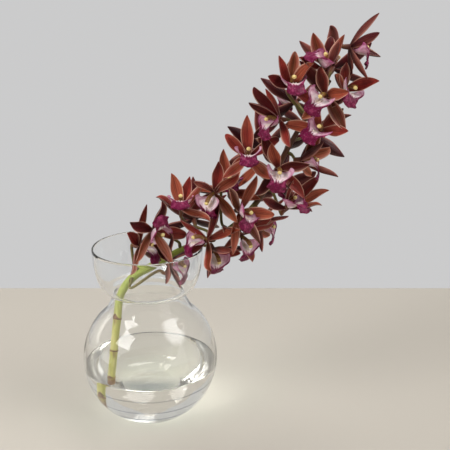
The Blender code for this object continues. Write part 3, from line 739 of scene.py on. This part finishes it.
# half width round the trough, half angle of the trough, forward and upward from the hub
LIP_STATIONS = [
    (2.4, 50, 3.9, -2.4), (11.0, 72, 6.6, -4.4), (17.0, 90, 9.4, -5.6), (19.2, 94, 12.0, -6.0),
    (19.0, 76, 14.4, -6.2), (15.0, 56, 16.4, -6.6), (8.6, 30, 18.2, -8.2), (8.8, -6, 19.8, -11.6),
    (10.4, -26, 20.6, -15.6), (8.4, -28, 20.0, -19.0), (2.2, -20, 18.4, -21.0),
]
LIP_COLUMNS_FINE = 20
LIP_HALF_THICK = 0.00045
RIDGE_RADIUS = 0.0011
RIDGE_OUT, RIDGE_UP = 0.0013, 0.0006         # from the middle of the trough
FRONT_LOBE = 0.58            # share of the way along the lip where its front lobe begins


def lobe_ripple(v, side, phase):
    """How far the lip's surface waves out of its smooth shape, in metres."""
    front = min(1.0, max(0.0, (v - FRONT_LOBE) / 0.12))
    crisp = 0.0013 * math.sin(30 * v + 5.0 * side + phase) + 0.0006 * math.sin(57 * v - 9.0 * side)
    blister = 0.0004 * math.sin(46 * v + 2 * phase) * math.cos(9 * side)
    flare = 0.0008 * max(0.0, abs(side) - 0.55) / 0.45 * math.sin(19 * v + 2.5 * side + phase)
    return front * (crisp * side * side + blister) + (1 - front) * flare


def add_lip(shape, place, habit):
    """The lip: a trough with two raised side lobes, two pale ridges and a ruffled, curled front."""
    hub, face, top, right = place
    rows = smooth([Vector(station) for station in LIP_STATIONS], 3)
    phase = habit.uniform(0, 2 * math.pi)
    shape.tone = (habit.random(), habit.random())
    rings, ridges = [], ([], [])
    last = len(rows) - 1
    for row, (wide, angle, ahead, above) in enumerate(rows):
        v = row / last
        before, after = rows[max(row - 1, 0)], rows[min(row + 1, last)]
        run = Vector((after[2] - before[2], after[3] - before[3])).normalized()
        rise = face * -run.y + top * run.x
        half_angle = math.radians(angle if abs(angle) > 1 else 1)
        bow = wide * MM / half_angle
        middle = hub + (face * ahead + top * above) * MM
        front, rear = [], []
        for c in range(LIP_COLUMNS_FINE + 1):
            side = -math.cos(math.pi * c / LIP_COLUMNS_FINE)
            turn = half_angle * side
            outwards = right * math.sin(turn) - rise * math.cos(turn)
            point = middle + right * bow * math.sin(turn) + rise * bow * (1 - math.cos(turn))
            point = point + outwards * lobe_ripple(v, side, phase)
            thick = LIP_HALF_THICK * math.sqrt(max(0.0, 1 - side ** 6)) * min(1.0, 0.3 + 4 * v)
            front.append(point - outwards * thick)
            rear.append(point + outwards * thick)
        rings.append(front + rear[-2:0:-1])
        if 0.12 < v < FRONT_LOBE:
            for ridge, sign in zip(ridges, (-1, 1)):
                ridge.append(middle + right * RIDGE_OUT * sign + rise * RIDGE_UP)
    us = [(1 - math.cos(math.pi * c / LIP_COLUMNS_FINE)) / 2 for c in range(LIP_COLUMNS_FINE + 1)]
    shape.loft(rings, us + us[-2:0:-1] + [us[0]], [i / last for i in range(last + 1)],
               [0] * (2 * LIP_COLUMNS_FINE), flat=True)
    for ridge in ridges:
        count = len(ridge) - 1
        rod(shape, ridge, [RIDGE_RADIUS * (0.35 + math.sin(math.pi * (0.12 + 0.80 * i / count)))
                           for i in range(count + 1)], slot=1, sides=8)


def add_column(shape, place):
    """The arched column, from inside the hub."""
    points, radii = column_route(place)
    points[0] = place[0]
    knots = smooth(points, 3)
    sizes = [knot.x for knot in smooth([Vector((radius, 0)) for radius in radii], 3)]
    rod(shape, knots, sizes, slot=COLUMN, sides=12)


def add_pedicel(shape, flower, place):
    """The stalk and its ribbed ovary, from inside the stem's skin to the hub."""
    points, radii = pedicel_route(flower, place)
    if flower["leaves"] == HANGING_FLOWER:
        points = [point - Vector((0, 0, HANGING_SAG)) * math.sin(math.pi * i / (len(points) - 1))
                  for i, point in enumerate(points)]
    points[0] = points[0] - (points[1] - points[0]).normalized() * STALK_ROOT
    radii[0] = radii[0] * 1.25
    rod(shape, points, radii, slot=SKIN, sides=18, ribs=3, rib_height=0.07)


CAP_HALF_LENGTH = 0.0021
CAP_RADIUS = 0.0022
STALK_ROOT = 0.0012          # how far a stalk goes into the stem's skin


def add_anther_cap(shape, place):
    """A two-lobed helmet over the column's tip."""
    points, _ = column_route(place)
    along = (points[-1] - points[-3]).normalized()
    right = place[3]
    up = right.cross(along)
    centre = points[-1] - along * 0.0004
    rings, sides, count = [], 14, 8
    for ring in range(1, count):
        lean = math.pi * ring / count
        around = []
        for k in range(sides):
            angle = 2 * math.pi * k / sides
            groove = 1 - 0.16 * math.exp(-((angle - math.pi / 2) / 0.35) ** 2)
            around.append(centre + along * -CAP_HALF_LENGTH * math.cos(lean)
                          + (right * math.cos(angle) * 1.08 + up * math.sin(angle) * groove)
                          * CAP_RADIUS * math.sin(lean))
        rings.append(around)
    shape.loft(rings, [k / sides for k in range(sides + 1)],
               [r / (count - 2) for r in range(count - 1)], [0] * sides, flat=False)


def build_flower(number, flower, paints):
    """A flower's three pieces: the bloom with its stalk, the lip and the anther cap."""
    place = flower_frame(flower)
    name = "flower_%02d" % number
    bloom = Shape()
    add_pedicel(bloom, flower, place)
    for part in TEPALS:
        add_tepal(bloom, place, Vector(flower[part]) * MM, random.Random("%d %s" % (number, part)),
                  FRONT_GROWTH if number <= LOOSE_LIPS else REAR_GROWTH)
    add_column(bloom, place)
    piece_of(name + "_bloom", bloom, [paints[key] for key in ("face", "back", "skin", "column")],
             "tepals", name + "_tepals")
    lip = Shape()
    add_lip(lip, place, random.Random("%d lip" % number))
    stands_for = [name + "_lip"] if number <= LOOSE_LIPS else []
    piece_of(name + "_lip_ruffled", lip, [paints["lip"], paints["callus"]], "lip", *stands_for)
    cap = Shape()
    add_anther_cap(cap, place)
    piece_of(name + "_anther_cap", cap, [paints["cap"]], "tepals")


# ================================================================ the stem

BRACT_LENGTH = 0.0052
BRACT_THICK = 0.0005
SHEATHS = [(0.036, 200), (0.079, 20), (0.115, 190)]      # height, and the side its point is on
BRACT_HALVES = [0.0019, 0.0021, 0.0017, 0.0010, 0.0002]


def build_stem(paint, dry):
    """The stem, a little swollen at each sheath, and its dry sheaths and bracts."""
    points, radii = stem_route(10)
    for i, point in enumerate(points):
        near = min(abs(point.z - height) for height, _ in SHEATHS)
        radii[i] *= 1 + 0.05 * math.exp(-(near / 0.003) ** 2)
    stem = Shape()
    rod(stem, points, radii, sides=30, ribs=5, rib_height=0.018)
    piece_of("stem_fine", stem, [paint], "stem", "stem")
    sheaths = Shape()
    for height, side in SHEATHS:
        add_sheath(sheaths, points, radii, height, math.radians(side))
    for flower in FLOWERS:
        add_bract(sheaths, flower)
    piece_of("sheaths_and_bracts", sheaths, [dry], "stem")


def add_sheath(shape, points, radii, height, side):
    """The dry rest of a sheath leaf: a collar round the stem, its upper edge drawn to a point."""
    low = min(range(len(points) // 2), key=lambda i: abs(points[i].z - height))
    along = (points[low + 1] - points[low]).normalized()
    first = along.orthogonal().normalized()
    second = along.cross(first)
    sides, shares, rings = 24, [0.0, 0.02, 0.4, 0.8, 1.0], []
    for share in shares:
        ring = []
        for k in range(sides):
            angle = 2 * math.pi * k / sides
            reach = 0.0018 + 0.0060 * max(0.0, math.cos(angle - side)) ** 4
            out = radii[low] * (0.95 if share in (0.0, 1.0) else 1.09 - 0.03 * share)
            ring.append(points[low] + along * reach * share
                        + (first * math.cos(angle) + second * math.sin(angle)) * out)
        rings.append(ring)
    shape.loft(rings, [k / sides for k in range(sides + 1)], shares, [0] * sides, flat=False)


def add_bract(shape, flower):
    """A small pointed bract under a pedicel, pressed against it."""
    points, _ = pedicel_route(flower, flower_frame(flower))
    _, along, _ = stem_at(flower["leaves"] * MM)
    way = (points[2] - points[0]).normalized()
    down = (-along + way * along.dot(way)).normalized()
    begin = points[0] - way * 0.0008 + down * 0.0019
    centres = [begin + way * BRACT_LENGTH * t + down * 0.0009 * t * t
               for t in (0, 0.25, 0.5, 0.75, 0.97)]
    blade(shape, centres, [-down] * len(BRACT_HALVES), BRACT_HALVES, BRACT_THICK, 0.5, 0, 0,
          columns=6)


# ================================================================ the vase and the water

TURN_STEPS = 144
THIN_GLASS = 0.0019          # the wall where it is blown thinnest; the CAD's wall is its mean
BOWL = [                     # radius and height of the ball's inner floor
    (0.0480, 0.0150), (0.0440, 0.0122), (0.0370, 0.0103), (0.0270, 0.0092), (0.0140, 0.0086),
    (0.0, 0.0084),
]
VASE_RINGS = ["vase_rim", "vase_cup", "vase_neck", "vase_shoulder", "vase_ball", "vase_belly",
              "vase_base", "vase_foot"]
RIM_STEPS = 8
WATER_GAP = 0.00006          # between the water and the glass
MENISCUS = [                 # in from the water's edge, and up from its level
    (0.0030, 0.0), (0.0016, 0.00004), (0.0009, 0.00012), (0.0004, 0.0003), (0.00015, 0.00045),
    (0.0, 0.0006),
]


def turned(name, profile, paint, slot, *nodes):
    """Spin an open profile of (radius, height) points about Z."""
    mesh = bpy.data.meshes.new(name)
    mesh.from_pydata([(radius, 0.0, height) for radius, height in profile],
                     [(i, i + 1) for i in range(len(profile) - 1)], [])
    mesh.materials.append(paint)
    piece = show(bpy.data.objects.new(name, mesh), slot, *nodes)
    turn = piece.modifiers.new("turn", "SCREW")
    turn.axis = "Z"
    turn.steps = TURN_STEPS
    turn.render_steps = TURN_STEPS
    turn.use_merge_vertices = True
    turn.merge_threshold = 0.000001
    turn.use_smooth_shade = True


def rounded(points):
    return [(point.x, point.y) for point in smooth([Vector(point) for point in points], 5)]


def inset_from(points, inset):
    """A profile moved inwards, square to its run, by inset."""
    moved = []
    for before, here, after in zip([points[0], *points], points, points[1:]):
        run = Vector((after[0] - before[0], after[1] - before[1])).normalized()
        moved.append((here[0] + run.y * inset, here[1] - run.x * inset))
    return moved


def build_vase(paint):
    """The CAD's profile through finer points, with a fire-polished rim and a rounded foot."""
    outer = rounded(outer_profile())
    inner = [point for point in inset_from(outer, THIN_GLASS) if point[1] > BOWL[0][1]] + BOWL
    foot = outer[-2]
    outer = outer[:-1] + [(foot[0] * 0.35 + FOOT_RADIUS * 0.65, foot[1] * 0.18),
                          (FOOT_RADIUS * 0.985, 0.0)]
    rim = []
    middle = CUP_RADIUS - THIN_GLASS / 2
    for step in range(1, RIM_STEPS):
        angle = math.pi * (1 - step / RIM_STEPS)
        rim.append((middle + THIN_GLASS / 2 * math.cos(angle),
                    CUP_HEIGHT + GLASS * 0.35 * math.sin(angle)))
    profile = [*reversed(inner), *rim, *outer, (FOOT_RADIUS * 0.80, 0.0004), (0.0, 0.0010)]
    turned("vase_glass", profile, paint, "glass", *VASE_RINGS)


def build_water(paint):
    """Water that wets the glass: its wall lies just inside the glass, and it climbs at the edge."""
    wall = [point for point in inset_from(rounded(outer_profile()), THIN_GLASS - WATER_GAP)
            if BOWL[0][1] < point[1] < WATER_LEVEL + 0.0005]
    edge = wall[0][0]
    top = [(0.0, WATER_LEVEL), *((edge - reach, WATER_LEVEL + climb) for reach, climb in MENISCUS)]
    floor = [(radius, height - WATER_GAP) for radius, height in BOWL]
    turned("water_fill", [*top, *wall, *floor], paint, "water", "water")


# ================================================================ stage, lights and camera

WINDOWS = [                  # way to each, angle of its bright middle, of its soft edge, and power
    ((-0.96, -0.27, 0.02), 5, 14, 2.6), ((0.64, -0.20, 0.70), 9, 22, 8.0),
]
FLOOR_COLOUR = (0.49, 0.45, 0.39, 1.0)
FLOOR_REACH = 4              # metres to the front and sides
FLOOR_END = 0.38             # where it stops behind the vase
SURROUND = (0.597, 0.597, 0.600)
LAMPS = [                    # name, place, width and depth, watts
    ("window", (-0.9, -0.7, 1.1), (0.7, 0.7), 15),
    ("overhead", (0.3, 0.4, 1.4), (0.8, 0.6), 6.5),
    ("fill", (1.1, -0.8, 0.5), (0.8, 0.8), 2),
]
LAMP_AIM = (0.05, 0.0, 0.2)
CAMERA_PLACE = (0.084, -0.802, 0.464)
CAMERA_DIP = 16.8            # degrees below level
CAMERA_LENS = 62.4
BOUNCES = 40                 # light has to cross many walls of glass and water


def build_stage():
    """A plain pale floor that ends behind the vase, against a pale grey surround."""
    made, _, shader = shader_of("floor_paint", 0.62)
    shader.inputs["Base Color"].default_value = FLOOR_COLOUR
    mesh = bpy.data.meshes.new("floor")
    mesh.from_pydata([(x * FLOOR_REACH, y, 0) for x, y in
                      ((-1, -FLOOR_REACH), (1, -FLOOR_REACH), (1, FLOOR_END), (-1, FLOOR_END))],
                     [], [(0, 1, 2, 3)])
    mesh.materials.append(made)
    floor = bpy.data.objects.new("floor", mesh)
    bpy.context.scene.collection.objects.link(floor)


def glow(tree, place, way, inner, outer, power):
    """A soft round patch of light on the surround, towards way; the angles are in degrees."""
    node = tree.nodes.new("ShaderNodeVectorMath")
    node.operation = "DOT_PRODUCT"
    tree.links.new(place, node.inputs[0])
    node.inputs[1].default_value = Vector(way).normalized()
    return fade(tree, node.outputs["Value"], math.cos(math.radians(outer)),
                math.cos(math.radians(inner)), 0.0, power)


def build_world():
    """A pale grey surround that lights softly, with blurred windows for the glass to mirror."""
    world = bpy.data.worlds.new("studio")
    bpy.context.scene.world = world
    world.use_nodes = True
    tree = world.node_tree
    back = tree.nodes["Background"]
    place = tree.nodes.new("ShaderNodeTexCoord").outputs["Generated"]
    _, _, rise = axes(tree, place)
    light = fade(tree, rise, -0.4, 0.9, 0.44, 0.56)
    for way, inner, outer, power in WINDOWS:
        light = plus(tree, light, glow(tree, place, way, inner, outer, power))
    path = tree.nodes.new("ShaderNodeLightPath")
    soft = fade(tree, rise, -0.4, 0.9, 0.13, 0.32)
    light = blended(tree, path.outputs["Is Diffuse Ray"], light, soft)
    direct = value(tree, "MAXIMUM", path.outputs["Is Camera Ray"],
                   path.outputs["Is Transmission Ray"])
    seen = blended(tree, direct, light, SURROUND)
    tree.links.new(seen, back.inputs["Color"])
    back.inputs["Strength"].default_value = 1.0


def soft_light(name, place, size, power):
    data = bpy.data.lights.new(name, "AREA")
    data.shape = "RECTANGLE"
    data.size, data.size_y = size
    data.energy = power
    lamp = bpy.data.objects.new(name, data)
    lamp.location = place
    lamp.rotation_euler = (Vector(LAMP_AIM) - Vector(place)).to_track_quat("-Z", "Y").to_euler()
    lamp.visible_camera = False
    lamp.visible_glossy = False
    bpy.context.scene.collection.objects.link(lamp)


def build_camera():
    """The view from the front: a little to the right of the vase, looking down at the spray."""
    data = bpy.data.cameras.new("camera")
    data.sensor_width = 36.0
    data.lens = CAMERA_LENS
    camera = bpy.data.objects.new("camera", data)
    camera.location = CAMERA_PLACE
    camera.rotation_euler = (math.radians(90 - CAMERA_DIP), 0.0, 0.0)
    bpy.context.scene.collection.objects.link(camera)
    bpy.context.scene.camera = camera


# ================================================================ everything together

build_camera()
build_stage()
build_world()
for lamp in LAMPS:
    soft_light(*lamp)
bpy.context.scene.view_settings.view_transform = "Standard"
bpy.context.scene.cycles.max_bounces = BOUNCES
bpy.context.scene.cycles.glossy_bounces = BOUNCES
bpy.context.scene.cycles.transmission_bounces = BOUNCES

# The glass carries painted shade: dark bands drawn round its front, low on the ball.
build_vase(clear_material("clear_glass_with_painted_bands", 1.48, (0.990, 0.992, 0.985), (0.90, 0.92, 0.915),
                          14.0, 0.0012, PAINTED_GLASS_BANDS))
build_water(clear_material("clear_water", 1.33, (0.935, 0.925, 0.900), (0.95, 0.96, 0.95),
                           60.0, 0.0001))
build_stem(stem_material(),
           waxy_material("dry_sheath", (0.20, 0.10, 0.045), (0.10, 0.045, 0.022), 300.0, 0.7))
PAINTS = {
    "face": tepal_material("tepal_face", (0.46, 0.118, 0.060), (0.300, 0.033, 0.024),
                           (0.080, 0.004, 0.005), (0.145, 0.058, 0.014), (0.045, 0.004, 0.004),
                           (0.70, 0.40, 0.30), 0.9),
    # The backs: the faces' tissue in much darker colours, partly the backs' own maroon and partly
    # painted shade.
    "back": tepal_material("tepal_back_with_painted_shade", (0.18, 0.036, 0.026), (0.090, 0.007, 0.010),
                           (0.032, 0.002, 0.004), (0.070, 0.022, 0.010), (0.018, 0.002, 0.003),
                           (0.44, 0.18, 0.14), 0.7),
    "skin": pedicel_material(),
    "column": waxy_material("column_tissue", (0.24, 0.15, 0.03), (0.17, 0.05, 0.02), 420.0),
    "lip": lip_material(),
    "callus": waxy_material("callus_tissue", (0.82, 0.72, 0.62), (0.74, 0.58, 0.50), 500.0, 0.45),
    "cap": waxy_material("anther_cap_tissue", (0.82, 0.68, 0.28), (0.74, 0.55, 0.20), 600.0, 0.35),
}
for number, flower in enumerate(FLOWERS, 1):
    build_flower(number, flower, PAINTS)
